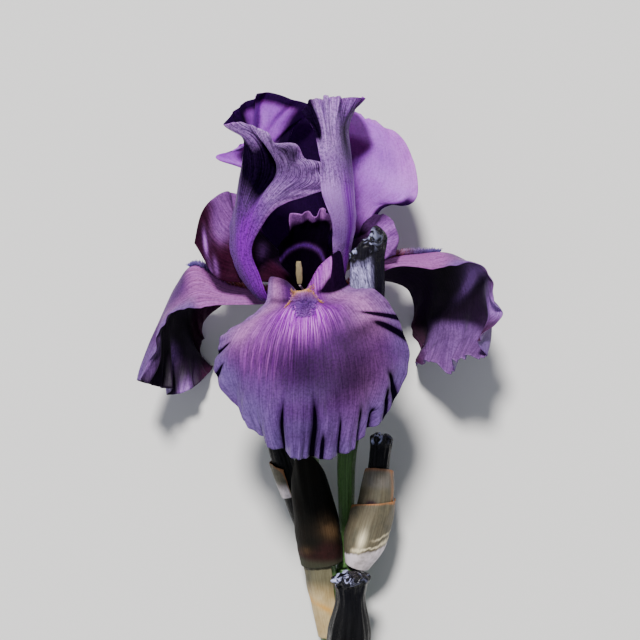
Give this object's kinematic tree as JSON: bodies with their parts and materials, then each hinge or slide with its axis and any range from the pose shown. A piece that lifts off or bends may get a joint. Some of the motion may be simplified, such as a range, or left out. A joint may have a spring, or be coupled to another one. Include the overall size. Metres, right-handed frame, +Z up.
{
  "type": "bearded iris flower",
  "caption": "Bearded iris bloom as picked: ruffled upright standards, drooping falls with beards, petal-like style arms, and a stalk with furled buds in papery bracts.",
  "frame": {"origin": "on the table, under the middle of the footprint of the lying flower", "axes": "+Y from the stalk's cut end to the top of the bloom, +Z up from the table, out of the front fall, and +X to the bloom's right as it is seen from above"},
  "size_m": [0.1459, 0.2599, 0.0855],
  "materials": {
    "fall_petal": "velvety",
    "standard_petal": "silky",
    "beard": "fuzzy",
    "style_arm": "silky",
    "stamen": "matte",
    "stalk": "satin, fresh plant tissue",
    "bud": "velvety, fresh plant tissue",
    "bract": "papery"
  },
  "bodies": {
    "root": {"fall_front": "fall_petal", "fall_left": "fall_petal", "fall_right": "fall_petal", "standard_left": "standard_petal", "standard_right": "standard_petal", "standard_back": "standard_petal", "beard_front": "beard", "beard_left": "beard", "beard_right": "beard", "style_front": "style_arm", "style_left": "style_arm", "style_right": "style_arm", "filament_front": "stamen", "filament_left": "stamen", "filament_right": "stamen", "anther_front": "stamen", "anther_left": "stamen", "anther_right": "stamen", "ovary_tube": "stalk", "stem": "stalk", "bud_upper": "bud", "bud_right": "bud", "bud_left": "bud", "bud_low": "bud", "spathe_bloom_outer": "bract", "spathe_stem": "bract", "spathe_right_inner": "bract", "spathe_right_outer": "bract", "spathe_left": "bract", "spathe_low": "bract"}
  },
  "joints": []
}
